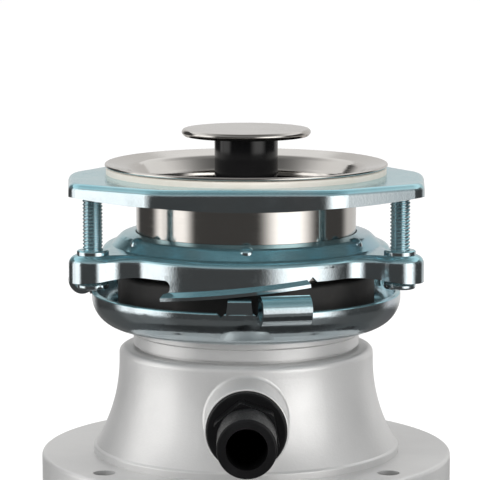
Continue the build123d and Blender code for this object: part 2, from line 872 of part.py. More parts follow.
def drum_cover():
    """Cast cover of the drum: the shelf, its skirt, the screw columns and the seat of the shredder ring."""
    cover = turned(
        (foot_bore(), shelf_z),
        (drum_radius, shelf_z, shelf_round),
        (drum_radius, parting_z),
        (drum_radius - chamber_wall, parting_z),
        (drum_radius - chamber_wall, shelf_z - shelf_plate, 2.0),
        (shredder_radius + casting_wall, shelf_z - shelf_plate, 2.0),
        (shredder_radius + casting_wall, parting_z),
        (shredder_radius, parting_z),
        (shredder_radius, parting_z + seat_depth),
        (foot_bore(), parting_z + seat_depth),
    )
    for bearing in screw_bearings:
        x, y = spot(screw_circle, bearing)
        cover += rod(column_radius, parting_z, shelf_z - 1, x, y) - rod(shredder_radius + 1, 0, rim_z)
    for bearing in screw_bearings:
        x, y = spot(screw_circle, bearing)
        cover -= rod(screw_head_radius + screw_hole_gap, shelf_z - counterbore_depth, shelf_z + 1, x, y)
        cover -= rod(screw_radius + screw_hole_gap, parting_z - 1, shelf_z, x, y)
    return cover


def along_front(radius, near_y, far_y):
    """A cylinder along Y on the inlet's axis, between two distances from the Z axis."""
    length = abs(far_y - near_y)
    return Pos(0, (near_y + far_y) / 2, inlet_z) * Rot(90, 0, 0) * Cylinder(radius, length)


def hopper_screws():
    """Four cap screws that draw the drum cover down on the chamber."""
    seat = shelf_z - counterbore_depth
    screws = []
    for bearing in screw_bearings:
        x, y = spot(screw_circle, bearing)
        head = rod(screw_head_radius, seat, seat + screw_head_height, x, y)
        head = fillet(head.edges().sort_by(Axis.Z)[-1], 0.6)
        socket = Pos(x, y, 0) * hexagon_rod(3.6, seat + 0.8, seat + 5)
        screws.append(head + rod(screw_radius, seat - screw_length, seat, x, y) - socket)
    return screws


def inlet_gasket():
    """Thin rubber washer between the boss and the fitting."""
    face = boss_end_y - inlet_gasket_thickness
    return along_front(collar_disc_radius + 0.3, boss_end_y, face) - along_front(
        stub_radius + snug, boss_end_y + 1, face - 1
    )


def inlet_fitting():
    """Moulded hose fitting: threaded stub, collar, hexagon and pipe."""
    face = boss_end_y - inlet_gasket_thickness
    hex_face = face - collar_disc_thickness
    pipe_face = hex_face - hex_length
    end = pipe_face - pipe_reach
    disc = along_front(collar_disc_radius, face, hex_face)
    disc = fillet(disc.edges(), 0.7)
    facing = Pos(0, hex_face, inlet_z) * Rot(90, 0, 0) * Rot(0, 0, 90 + hex_turn)
    nut = facing * hexagon_rod(hex_flats, 0, hex_length)
    nut &= along_front(hex_flats / 2 * 1.13, hex_face, pipe_face)
    pipe = along_front(pipe_radius, pipe_face + 1, end)
    pipe = fillet(pipe.edges().sort_by(Axis.Y)[0], 1.0)
    stub = along_front(stub_radius, face, face + stub_length)
    return disc + nut + pipe + stub - along_front(pipe_bore, 0, end - 1)


# ================================================================ grinding parts
def shredder_ring():
    """Stainless grinding ring with slots that open at its lower edge."""
    low = parting_z - shredder_hang
    ring = tube(shredder_radius - snug, shredder_radius - shredder_wall, low, parting_z + seat_depth - snug)
    slot = block(
        shredder_slot_width, 3 * shredder_wall, low - 1, low + shredder_slot_height, 0, -shredder_radius
    )
    for piece in around(slot, shredder_slots):
        ring -= piece
    return ring


def turntable():
    """Flywheel disc with drain holes and a hub that keys to the shaft."""
    low = turntable_z - turntable_thickness
    disc = rod(turntable_radius, low, turntable_z)
    disc = fillet(disc.edges(), 0.6)
    disc += rod(turntable_hub_radius, low - turntable_hub_height, low + 0.5)
    for i in range(turntable_holes):
        x, y = spot(turntable_radius - 8, 15 + 360 * i / turntable_holes)
        disc -= rod(turntable_hole_radius, low - 1, turntable_z + 1, x, y)
    disc -= rod(shaft_stud_radius() + snug, low - 20, turntable_z + 1)
    for x in (-lug_circle, lug_circle):
        disc -= rod(rivet_radius + snug, low - 1, turntable_z + 1, x, 0)
    return disc


def shaft_stud_radius():
    """Reduced upper end of the shaft, which the turntable fits."""
    return shaft_radius - 1.5


def turntable_nut():
    """Domed hexagon nut on the shaft's upper end."""
    nut = hexagon_rod(nut_flats, turntable_z + snug, turntable_z + nut_height)
    nut &= Pos(0, 0, turntable_z - 8) * Sphere(nut_height + 9.0)
    return nut - rod(shaft_stud_radius() + snug, turntable_z - 1, turntable_z + nut_height - 1.2)


def lug(side):
    """A swivel lug on the turntable: a thick bar with a heavy round end, turning about its rivet."""
    low = turntable_z + 0.2
    plan = make_face(
        Polyline(
            (0, -lug_radius),
            (lug_reach, -lug_radius * 0.8),
            (lug_reach, lug_radius * 0.8),
            (0, lug_radius),
            close=True,
        )
    ) + Circle(lug_radius)
    bar = extrude(Pos(0, 0, low) * plan, lug_thickness)
    toe = block(6.0, lug_radius * 1.6, low, low + 2.4 * lug_thickness, lug_reach + 3.0, 0)
    bar = bar + toe - rod(rivet_radius + run, low - 1, low + 30)
    return Pos(side * lug_circle, 0, 0) * (Rot(0, 0, 0 if side > 0 else 180) * bar)


def lug_rivets():
    """Two rivets, one for each lug."""
    low = turntable_z - turntable_thickness
    top = turntable_z + 0.2 + lug_thickness + 0.3
    rivets = []
    for x in (-lug_circle, lug_circle):
        pin = rod(rivet_radius, low, top, x, 0)
        head = rod(rivet_head_radius, top, top + rivet_head_height, x, 0)
        head = fillet(head.edges().sort_by(Axis.Z)[-1], 1.2)
        tail = rod(rivet_head_radius, low - rivet_head_height, low, x, 0)
        tail = fillet(tail.edges().sort_by(Axis.Z)[0], 1.2)
        rivets.append(pin + head + tail)
    return rivets


def chamber_gasket():
    """Flat gasket on the parting line, with an eye round each screw."""
    low, high = parting_z - chamber_gasket_thickness, parting_z
    ring = tube(drum_radius - 0.4, drum_radius - chamber_wall, low, high)
    for bearing in screw_bearings:
        x, y = spot(screw_circle, bearing)
        eye = rod(column_radius, low, high, x, y)
        ring += eye
    for bearing in screw_bearings:
        ring -= rod(screw_radius + screw_hole_gap, low - 1, high + 1, *spot(screw_circle, bearing))
    return ring


# ================================================================ chamber and discharge
def along_side(radius, near_x, far_x, y=0.0):
    """A cylinder along X on the port's axis, or beside it."""
    return Pos((near_x + far_x) / 2, y, port_z) * Rot(0, 90, 0) * Cylinder(radius, abs(far_x - near_x))


def port_plate(near_x, far_x, centre, ear):
    """An upright plate across the port's axis: a disc with an ear at each side."""
    swing = acos((centre - ear) / ear_offset)
    corners = []
    for side in (1, -1):
        for turn in (1, -1):
            along, up = cos(swing), sin(swing)
            edge = [
                (side * centre * along, turn * centre * up),
                (side * (ear_offset + ear * along), turn * ear * up),
            ]
            corners.append(edge)
    order = [*corners[0], *corners[1][::-1], *corners[3], *corners[2][::-1]]
    outline = make_face(Polyline(*order, close=True)) + Circle(centre)
    outline += Pos(ear_offset, 0) * Circle(ear) + Pos(-ear_offset, 0) * Circle(ear)
    return extrude(Plane((near_x, 0, port_z), x_dir=(0, 1, 0), z_dir=(1, 0, 0)) * outline, far_x - near_x)


def grind_chamber():
    """Cast chamber: drum, floor, bearing hub, spigot, screw columns and discharge port."""
    top = parting_z - chamber_gasket_thickness
    floor = chamber_z + chamber_floor
    body = turned(
        (0, chamber_z - hub_drop),
        (hub_radius, chamber_z - hub_drop),
        (hub_radius, chamber_z),
        (shell_bore - snug - spigot_wall, chamber_z),
        (shell_bore - snug - spigot_wall, chamber_z - spigot_height),
        (shell_bore - snug, chamber_z - spigot_height),
        (shell_bore - snug, chamber_z),
        (drum_radius, chamber_z, 2.5),
        (drum_radius, top),
        (drum_radius - chamber_wall, top),
        (drum_radius - chamber_wall, floor, 4.0),
        (hub_radius, floor, 5.0),
        (hub_radius, hub_top_z, 1.0),
        (0, hub_top_z),
    )
    for bearing in screw_bearings:
        x, y = spot(screw_circle, bearing)
        body += rod(column_radius, floor - 1, top, x, y)
    boss = along_side(port_boss - 2, drum_radius - chamber_wall / 2, port_face_x - 1)
    body += boss
    body += port_plate(port_face_x - port_flange, port_face_x, port_boss, ear_radius)
    body -= along_side(port_bore, drum_radius - 3 * chamber_wall, port_face_x + 1)
    for side in (-1, 1):
        back_x = port_face_x - port_flange - 1
        body -= along_side(ear_screw_radius + snug, back_x, port_face_x + 1, side * ear_offset)
    for bearing in screw_bearings:
        x, y = spot(screw_circle, bearing)
        body -= rod(screw_radius + snug, shelf_z - counterbore_depth - screw_length - 2, top + 1, x, y)
    for bearing in tie_bearings:
        x, y = spot(tie_circle, bearing)
        body += rod(tie_head_radius + 2, floor - 1, floor + 6, x, y)
        body -= rod(tie_radius + snug, chamber_z - spigot_height - 1, floor + 3, x, y)
    body -= rod(bush_radius + snug, hub_top_z - seal_height - bush_length, hub_top_z + 1)
    body -= rod(shaft_radius + seal_wall + snug, hub_top_z - seal_height, hub_top_z + 1)
    return body - rod(shaft_radius + free, 0, hub_top_z + 5)


def upper_bearing():
    """Bronze bush in the chamber's hub."""
    top = hub_top_z - seal_height
    return tube(bush_radius, shaft_radius + run, top - bush_length, top)


def shaft_seal():
    """Rubber seal above the upper bush."""
    low = hub_top_z - seal_height + snug
    return turned(
        (shaft_radius + run, low),
        (shaft_radius + seal_wall, low),
        (shaft_radius + seal_wall, hub_top_z - 0.2),
        (shaft_radius + 2.5, hub_top_z - 0.2),
        (shaft_radius + 2.5, low + 1.5),
        (shaft_radius + run, low + 2.5),
    )


def port_gasket():
    """Rubber ring between the port and the tailpipe's flange."""
    return along_side(port_boss - 1, port_face_x, port_face_x + port_gasket_thickness) - along_side(
        port_bore, port_face_x - 1, port_face_x + port_gasket_thickness + 1
    )


def discharge_elbow():
    """Moulded tailpipe: a flange, a short run, a right-angle bend and a straight end pointing down."""
    face = port_face_x + port_gasket_thickness
    bend_x = face + tail_flange + tail_run
    path = Line((face, 0, port_z), (bend_x, 0, port_z))
    path += TangentArc(
        (bend_x, 0, port_z), (bend_x + tail_bend, 0, port_z - tail_bend), tangent=(1, 0, 0)
    )
    path += Line(
        (bend_x + tail_bend, 0, port_z - tail_bend), (bend_x + tail_bend, 0, port_z - tail_bend - tail_drop)
    )
    start = Plane((face, 0, port_z), x_dir=(0, 1, 0), z_dir=(1, 0, 0))
    pipe = sweep(start * Circle(tail_radius), path=path)
    bore = sweep(start * Circle(tail_radius - tail_wall), path=path)
    return pipe + along_side(port_boss - 1, face, face + tail_flange) - bore


def discharge_clamp():
    """Pressed plate that holds the tailpipe's flange on the port."""
    near = port_face_x + port_gasket_thickness + tail_flange
    plate = port_plate(near, near + clamp_plate, port_boss, ear_radius)
    plate -= along_side(tail_radius + slip, near - 1, near + clamp_plate + 1)
    for side in (-1, 1):
        plate -= along_side(ear_screw_radius + slip, near - 1, near + clamp_plate + 1, side * ear_offset)
    return plate


def discharge_screws():
    """Two hexagon-headed screws through the clamp into the port's ears."""
    seat = port_face_x + port_gasket_thickness + tail_flange + clamp_plate
    screws = []
    for side in (-1, 1):
        y = side * ear_offset
        head = Pos(seat, y, port_z) * Rot(0, 90, 0) * hexagon_rod(
            2 * ear_screw_head_radius, 0, ear_screw_head_height
        )
        washer = along_side(ear_screw_head_radius + 1.6, seat, seat + 0.9, y)
        screws.append(head + washer + along_side(ear_screw_radius, port_face_x - port_flange, seat, y))
    return screws


# ================================================================ motor
def motor_shell():
    """Rolled steel shell round the motor, seated on the bottom cap and the chamber's spigot."""
    return tube(shell_radius, shell_bore, shell_z + snug, chamber_z - snug)


def stator_core():
    """Laminated stator with open slots and grooves for the tie bolts."""
    top = stack_z + stack_height
    core = tube(stator_radius, stator_bore, stack_z, top)
    slot = block(slot_width, slot_depth, stack_z - 1, top + 1, 0, -(stator_bore + 2.5 + slot_depth / 2))
    mouth = block(slot_width / 2.5, 6, stack_z - 1, top + 1, 0, -(stator_bore + 2))
    for piece in around(slot + mouth, stator_slots, 7.5):
        core -= piece
    for bearing in tie_bearings:
        core -= rod(tie_radius + slip, stack_z - 1, top + 1, *spot(tie_circle, bearing))
    return core


def winding(low, high):
    """End turns of the stator winding, as one rounded ring."""
    inner = stator_bore + winding_inset
    outer = stator_bore + slot_depth + 2 * winding_inset
    return turned((inner, low, 3.0), (outer, low, 4.0), (outer, high, 4.0), (inner, high, 3.0))


def rotor_core():
    """Laminated rotor on the shaft."""
    return tube(rotor_radius, shaft_radius + 2 + snug, stack_z, stack_z + stack_height)


def rotor_end_rings():
    """Cast cage rings at both ends of the rotor, with cooling blades."""
    rings = []
    for low, blade_low in (
        (stack_z - end_ring_height, stack_z - end_ring_height - 3),
        (stack_z + stack_height, stack_z + stack_height + end_ring_height),
    ):
        outer = rotor_radius - 1.0
        ring = tube(outer, outer - end_ring_width, low, low + end_ring_height)
        blade = block(1.6, end_ring_width - 2, blade_low, blade_low + 3, 0, -(outer - end_ring_width / 2))
        for piece in around(blade, 10):
            ring += piece
        rings.append(ring)
    return rings


def rotor_shaft():
    """Stepped shaft: a key hexagon at its foot, journals, a rotor seat and a threaded stud at the top."""
    stud = shaft_stud_radius()
    collar = thrust_z() + thrust_thickness + snug
    seat_low = governor_z() + governor_height + governor_travel + 0.3
    seat_high = stack_z + stack_height + end_ring_height + 4
    turntable_foot = turntable_z - turntable_thickness - turntable_hub_height
    shaft = turned(
        (0, shaft_end),
        (shaft_radius, shaft_end, 0.5),
        (shaft_radius, collar),
        (shaft_radius + 2, collar),
        (shaft_radius + 2, collar + thrust_collar),
        (shaft_radius, collar + thrust_collar),
        (shaft_radius, seat_low),
        (shaft_radius + 2, seat_low),
        (shaft_radius + 2, seat_high),
        (shaft_radius, seat_high),
        (shaft_radius, turntable_foot - snug),
        (stud, turntable_foot - snug),
        (stud, turntable_z + nut_height - 1.6, 0.5),
        (0, turntable_z + nut_height - 1.6),
    )
    return shaft - hexagon_rod(wrench_flats, shaft_end - 1, shaft_end + wrench_depth)


def lower_end_bell():
    """Cast lower end bell: bearing hub, cooling windows, holes for the tie bolts and cap screws."""
    low = bell_top_z - bell_thickness
    bell = tube(shell_bore - snug, 3, low, bell_top_z)
    bell += rod(bell_hub_radius, low - bell_hub_drop, bell_top_z + bell_hub_rise)
    middle = (bell_hub_radius + stator_bore + slot_depth) / 2 + 2
    window = block(15, 15, low - 1, bell_top_z + 1, 0, -middle)
    for piece in around(fillet(window.edges().filter_by(Axis.Z), 4), bell_windows, 30):
        bell -= piece
    for bearing in tie_bearings:
        bell -= rod(tie_radius + slip, low - 1, bell_top_z + 1, *spot(tie_circle, bearing))
    for bearing in cap_screw_bearings:
        x, y = spot(cap_screw_circle, bearing)
        bell -= rod(cap_screw_radius + snug, low - 1, bell_top_z - 1.5, x, y)
    bush_low = bell_top_z + bell_hub_rise - bush_length * 0.7
    bell -= rod(bush_radius + snug, bush_low, bell_top_z + bell_hub_rise + 1)
    return bell - rod(shaft_radius + free, 0, bell_top_z + 30)


def lower_bearing():
    """Bronze bush in the lower end bell."""
    top = bell_top_z + bell_hub_rise
    return tube(bush_radius, shaft_radius + run, top - bush_length * 0.7, top)


def thrust_washer():
    """Washer between the lower bush and the governor's seat on the shaft."""
    return tube(shaft_radius + 5, shaft_radius + run, thrust_z(), thrust_z() + thrust_thickness)


def tie_bolts():
    """Four long bolts from the lower end bell up into the chamber's floor."""
    seat = bell_top_z - bell_thickness
    tip = chamber_z + chamber_floor + 2
    bolts = []
    for bearing in tie_bearings:
        x, y = spot(tie_circle, bearing)
        head = Pos(x, y, 0) * hexagon_rod(2 * tie_head_radius * cos(pi / 6), seat - tie_head_height, seat)
        bolts.append(head + rod(tie_radius, seat, tip, x, y))
    return bolts


def thrust_z():
    """Underside of the thrust washer."""
    return bell_top_z + bell_hub_rise + snug


def governor_z():
    """Underside of the governor collar at rest, just over the shaft's thrust collar."""
    return thrust_z() + thrust_thickness + snug + thrust_collar + 0.3


def governor():
    """Sliding collar of the centrifugal switch."""
    low = governor_z()
    return turned(
        (shaft_radius + run, low),
        (governor_radius, low, 0.5),
        (governor_radius, low + 1.5, 0.5),
        (shaft_radius + 4, low + 1.5),
        (shaft_radius + 4, low + governor_height - 1.5),
        (governor_radius - 3, low + governor_height - 1.5),
        (governor_radius - 3, low + governor_height),
        (shaft_radius + run, low + governor_height),
    )


def start_switch():
    """Start switch on the end bell, beside the governor collar."""
    low = bell_top_z
    x = 0.0
    y = bell_hub_radius + 2.0 + switch_width / 2
    body = block(switch_length, switch_width, low, low + switch_height, x, y)
    body = fillet(body.edges().filter_by(Axis.Z), 1.5)
    reach = y - (governor_radius - 2.5)
    arm = block(5.0, reach, bell_top_z + bell_hub_rise + 0.2, governor_z() - 0.4, x, y - reach / 2)
    return body + arm


# ================================================================ bottom cap and what it holds
def bottom_cap():
    """Moulded cap: wall, recessed vented floor, screw posts, and holes for key, button and wiring."""
    outer = shell_radius + cap_reach
    floor = cap_recess + cap_wall
    lip = shell_z + 6.0
    cap = turned(
        (0, cap_recess),
        (outer - foot_width, cap_recess, 1.5),
        (outer - foot_width, 0),
        (outer, 0, 2.0),
        (outer, lip, 0.8),
        (shell_radius + snug, lip),
        (shell_radius + snug, shell_z),
        (shell_bore, shell_z),
        (shell_bore, floor, 2.0),
        (0, floor),
    )
    bell_foot = bell_top_z - bell_thickness
    for bearing in cap_screw_bearings:
        x, y = spot(cap_screw_circle, bearing)
        cap += rod(cap_post_radius, floor - 1, bell_foot - snug, x, y)
    for bearing in cap_screw_bearings:
        x, y = spot(cap_screw_circle, bearing)
        cap -= rod(cap_screw_radius + slip, -1, bell_foot + 1, x, y)
        cap -= rod(cap_screw_head_radius + slip, -1, cap_recess + cap_screw_head_height + 0.6, x, y)
    vent = block(vent_length, vent_width, -1, floor + 1, 0, 0)
    vent = fillet(vent.edges().filter_by(Axis.Z), vent_width / 2 - 0.05)
    for i in range(cap_vents):
        bearing = 360 * i / cap_vents + 10
        if vent_is_clear(bearing):
            x, y = spot(outer - foot_width - 3 - vent_length / 2, bearing)
            cap -= Pos(x, y, 0) * Rot(0, 0, bearing + 90) * vent
    cap -= rod(wrench_hole, -1, floor + 1)
    x, y = button_spot()
    cap -= rod(button_radius + free, -1, floor + 1, x, y)
    x, y = conduit_spot()
    cap -= rod(conduit_radius, -1, floor + 1, x, y)
    return cap - cover_block(cover_length - 6, cover_width - 6, -1, floor + 1)


def vent_is_clear(bearing):
    """Whether a vent at this bearing misses the posts, the wiring hole and the cover."""
    taken = [(b, 16) for b in cap_screw_bearings] + [(conduit_bearing, 26), (cover_bearing, 40)]
    return all(abs((bearing - b + 180) % 360 - 180) > width for b, width in taken)


def button_spot():
    """Axis of the reset button."""
    return spot(protector_circle, button_bearing)


def conduit_spot():
    """Axis of the wiring entry."""
    return spot(conduit_circle, conduit_bearing)


def cover_block(length, width, low, high):
    """A block turned to lie where the wiring cover does."""
    x, y = spot(cover_circle, cover_bearing)
    return Pos(x, y, 0) * Rot(0, 0, cover_bearing) * block(length, width, low, high)


def wiring_cover():
    """Plate that closes the wiring space."""
    plate = cover_block(cover_length, cover_width, cap_recess - cover_thickness, cap_recess)
    return fillet(plate.edges().filter_by(Axis.Z), 3.0) - rod(
        cap_screw_radius + slip, -1, cap_recess + 1, *cover_screw_spot()
    )


def cover_screw_spot():
    """Axis of the wiring cover's screw, on the edge of the opening nearest the axis."""
    return spot(cover_circle - cover_width / 2 + 2.2, cover_bearing)


def cover_screw():
    """Pan-headed screw of the wiring cover."""
    x, y = cover_screw_spot()
    low = cap_recess - cover_thickness
    head = rod(cap_screw_head_radius - 1, low - 1.4, low, x, y)
    return head + rod(cap_screw_radius, low, low + cover_thickness - snug, x, y)


def cap_screws():
    """Three screws that hold the bottom cap to the end bell."""
    seat = cap_recess + cap_screw_head_height + 0.6
    tip = bell_top_z - 2.0
    screws = []
    for bearing in cap_screw_bearings:
        x, y = spot(cap_screw_circle, bearing)
        head = rod(cap_screw_head_radius, seat - cap_screw_head_height, seat, x, y)
        slot = block(1.0, 3 * cap_screw_head_radius, 0, seat - cap_screw_head_height + 1.0, x, y)
        screws.append(head + rod(cap_screw_radius, seat, tip, x, y) - slot)
    return screws


def overload_protector():
    """Thermal overload protector standing on the cap's floor, hollow where the button slides."""
    x, y = button_spot()
    low = cap_recess + cap_wall + snug
    body = rod(protector_radius, low, low + protector_height, x, y)
    body = fillet(body.edges().sort_by(Axis.Z)[-1], 1.0)
    return body - rod(button_radius + free, low - 1, low + protector_height - 2, x, y)


def reset_button():
    """Reset button, reached from below."""
    x, y = button_spot()
    low = cap_recess - button_proud
    button = rod(button_radius, low, low + 10, x, y)
    return fillet(button.edges().sort_by(Axis.Z)[0], 0.8)


# ================================================================ output
pieces = {
    "stopper_cap": stopper_cap,
    "stopper_stem": stopper_stem,
    "stopper_seal": stopper_seal,
    "sink_flange": sink_flange,
    "rim_gasket": rim_gasket,
    "backup_flange": backup_flange,
    "mounting_bolts": mounting_bolts,
    "mounting_ring": mounting_ring,
    "snap_ring": snap_ring,
    "neck_gasket": neck_gasket,
    "splash_guard": splash_guard,
    "lower_ring": lower_ring,
    "turning_tubes": turning_tubes,
    "hopper": hopper,
    "drum_cover": drum_cover,
    "hopper_screws": hopper_screws,
    "inlet_gasket": inlet_gasket,
    "inlet_fitting": inlet_fitting,
    "chamber_gasket": chamber_gasket,
    "grind_chamber": grind_chamber,
    "shredder_ring": shredder_ring,
    "turntable": turntable,
    "turntable_nut": turntable_nut,
    "lug_left": lambda: lug(-1),
    "lug_right": lambda: lug(1),
    "lug_rivets": lug_rivets,
    "shaft_seal": shaft_seal,
    "upper_bearing": upper_bearing,
    "rotor_shaft": rotor_shaft,
    "rotor_core": rotor_core,
    "rotor_end_rings": rotor_end_rings,
    "governor": governor,
    "start_switch": start_switch,
    "stator_core": stator_core,
    "upper_winding": lambda: winding(
        stack_z + stack_height + winding_lift, stack_z + stack_height + winding_lift + winding_height
    ),
    "lower_winding": lambda: winding(stack_z - winding_lift - winding_height, stack_z - winding_lift),
    "motor_shell": motor_shell,
    "lower_end_bell": lower_end_bell,
    "lower_bearing": lower_bearing,
    "thrust_washer": thrust_washer,
    "tie_bolts": tie_bolts,
    "overload_protector": overload_protector,
    "reset_button": reset_button,
    "bottom_cap": bottom_cap,
    "cap_screws": cap_screws,
    "wiring_cover": wiring_cover,
    "cover_screw": cover_screw,
    "port_gasket": port_gasket,
    "discharge_elbow": discharge_elbow,
    "discharge_clamp": discharge_clamp,
    "discharge_screws": discharge_screws,
}

os.makedirs("parts", exist_ok=True)
for name, make in pieces.items():
    made = make()
    shape = Compound(children=made) if isinstance(made, list) else made
    export_step(shape, f"parts/{name}.step")
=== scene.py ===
from math import cos, pi, radians, sin, tau

import bmesh
import bpy
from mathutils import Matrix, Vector


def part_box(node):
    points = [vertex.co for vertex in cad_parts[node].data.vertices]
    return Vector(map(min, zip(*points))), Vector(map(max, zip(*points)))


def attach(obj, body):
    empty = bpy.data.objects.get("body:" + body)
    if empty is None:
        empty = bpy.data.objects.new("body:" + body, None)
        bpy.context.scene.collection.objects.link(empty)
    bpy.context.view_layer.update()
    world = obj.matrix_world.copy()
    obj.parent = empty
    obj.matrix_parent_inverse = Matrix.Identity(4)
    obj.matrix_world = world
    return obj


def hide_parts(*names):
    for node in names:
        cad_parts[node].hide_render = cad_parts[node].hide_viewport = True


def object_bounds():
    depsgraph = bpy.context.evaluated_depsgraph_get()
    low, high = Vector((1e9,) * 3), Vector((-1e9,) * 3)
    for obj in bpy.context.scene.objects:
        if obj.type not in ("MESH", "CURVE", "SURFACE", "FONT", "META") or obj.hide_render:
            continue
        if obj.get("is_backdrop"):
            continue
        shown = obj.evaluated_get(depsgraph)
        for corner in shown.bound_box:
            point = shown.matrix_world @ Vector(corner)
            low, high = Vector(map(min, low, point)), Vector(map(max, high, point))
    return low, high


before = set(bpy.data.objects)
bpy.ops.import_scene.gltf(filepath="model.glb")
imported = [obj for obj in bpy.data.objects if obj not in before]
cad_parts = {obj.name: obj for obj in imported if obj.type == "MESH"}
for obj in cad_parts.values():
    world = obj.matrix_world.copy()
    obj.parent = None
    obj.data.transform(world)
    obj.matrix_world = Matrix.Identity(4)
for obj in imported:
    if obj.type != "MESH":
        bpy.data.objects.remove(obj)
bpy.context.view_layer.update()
MM = 0.001


# ---------------------------------------------------------------- node helpers
def put(tree, kind, inputs=None, **options):
    """Adds a node to a tree, sets its options, then wires or sets its inputs."""
    node = tree.nodes.new(kind)
    for name, value in options.items():
        setattr(node, name, value)
    for key, value in (inputs or {}).items():
        if isinstance(value, bpy.types.NodeSocket):
            tree.links.new(value, node.inputs[key])
        else:
            node.inputs[key].default_value = value
    return node


def sums(tree, operation, *values):
    """A Math node's output, with its inputs wired or set in order."""
    node = put(tree, "ShaderNodeMath", dict(enumerate(values)), operation=operation)
    return node.outputs[0]


def ramp(tree, value, low, high, out_low=0.0, out_high=1.0):
    """A smooth step of a value between two limits."""
    node = put(
        tree,
        "ShaderNodeMapRange",
        {"Value": value, "From Min": low, "From Max": high, "To Min": out_low, "To Max": out_high},
        interpolation_type="SMOOTHSTEP",
    )
    return node.outputs["Result"]


def mixed(tree, share, first, second):
    """A colour between two colours."""
    node = put(tree, "ShaderNodeMix", {"Factor": share}, data_type="RGBA")
    for socket, value in ((node.inputs[6], first), (node.inputs[7], second)):
        if isinstance(value, bpy.types.NodeSocket):
            tree.links.new(value, socket)
        else:
            socket.default_value = (*value, 1.0)
    return node.outputs[2]


def noise(tree, place, scale, detail=3.0, roughness=0.55):
    """Noise over a place, as a value."""
    inputs = {"Vector": place, "Scale": scale, "Detail": detail, "Roughness": roughness}
    return put(tree, "ShaderNodeTexNoise", inputs).outputs["Fac"]


class Finish:
    """A material under construction: its tree, its place on the object and its shader."""

    def __init__(self, name, metallic=0.0, roughness=0.4, **fixed):
        self.material = bpy.data.materials.new(name)
        self.material.use_nodes = True
        self.tree = self.material.node_tree
        self.shader = self.tree.nodes["Principled BSDF"]
        self.shader.inputs["Metallic"].default_value = metallic
        self.shader.inputs["Roughness"].default_value = roughness
        for key, value in fixed.items():
            self.shader.inputs[key.replace("_", " ")].default_value = value
        self.place = put(self.tree, "ShaderNodeTexCoord").outputs["Object"]

    def wire(self, **sockets):
        """Feeds the shader's inputs."""
        for key, value in sockets.items():
            self.tree.links.new(value, self.shader.inputs[key.replace("_", " ")])
        return self.material

    def bump(self, height, distance, strength=1.0, under=None):
        """A bump normal from a height, over another if there is one."""
        inputs = {"Height": height, "Distance": distance, "Strength": strength}
        if under is not None:
            inputs["Normal"] = under
        return put(self.tree, "ShaderNodeBump", inputs).outputs["Normal"]

    def about_axis(self, fine, along):
        """Noise drawn out into rings about the Z axis, as a lathe or a polishing wheel leaves them."""
        parts = put(self.tree, "ShaderNodeSeparateXYZ", {0: self.place}).outputs
        flat = put(self.tree, "ShaderNodeCombineXYZ", {0: parts[0], 1: parts[1]}).outputs[0]
        radius = put(self.tree, "ShaderNodeVectorMath", {0: flat}, operation="LENGTH").outputs["Value"]
        turn = put(self.tree, "ShaderNodeVectorMath", {0: flat}, operation="NORMALIZE").outputs["Vector"]
        turn = put(self.tree, "ShaderNodeSeparateXYZ", {0: turn}).outputs
        spot = put(
            self.tree,
            "ShaderNodeCombineXYZ",
            {
                0: sums(self.tree, "MULTIPLY", radius, fine),
                1: sums(self.tree, "MULTIPLY", turn[0], along),
                2: sums(self.tree, "MULTIPLY", turn[1], along),
            },
        ).outputs[0]
        rings = put(
            self.tree,
            "ShaderNodeTexNoise",
            {"Vector": spot, "W": sums(self.tree, "MULTIPLY", parts[2], fine), "Scale": 1.0, "Detail": 3.0},
            noise_dimensions="4D",
        )
        return rings.outputs["Fac"]


# ---------------------------------------------------------------- finishes
def polished_stainless():
    """Drawn stainless sheet, buffed in rings, with a faint warm cast and a few smudges."""
    f = Finish("polished_stainless", metallic=1.0)
    rings = f.about_axis(2600.0, 1.2)
    smudge = noise(f.tree, f.place, 28.0, 4.0)
    shade = mixed(f.tree, ramp(f.tree, smudge, 0.3, 0.75), (0.64, 0.62, 0.59), (0.58, 0.555, 0.525))
    brushed = ramp(f.tree, rings, 0.25, 0.8, 0.07, 0.16)
    rough = sums(f.tree, "ADD", brushed, ramp(f.tree, smudge, 0.45, 0.8, 0.0, 0.05))
    return f.wire(Base_Color=shade, Roughness=rough, Normal=f.bump(rings, 0.00002, 0.4))


def ground_steel():
    """Plain steel of the grinding and motor parts, turned and slightly dull."""
    f = Finish("ground_steel", metallic=1.0)
    rings = f.about_axis(1500.0, 1.5)
    cloud = noise(f.tree, f.place, 60.0, 4.0)
    shade = mixed(f.tree, ramp(f.tree, cloud, 0.35, 0.7), (0.56, 0.56, 0.565), (0.42, 0.42, 0.43))
    rough = ramp(f.tree, rings, 0.2, 0.8, 0.26, 0.45)
    return f.wire(Base_Color=shade, Roughness=rough, Normal=f.bump(rings, 0.00004, 0.6))


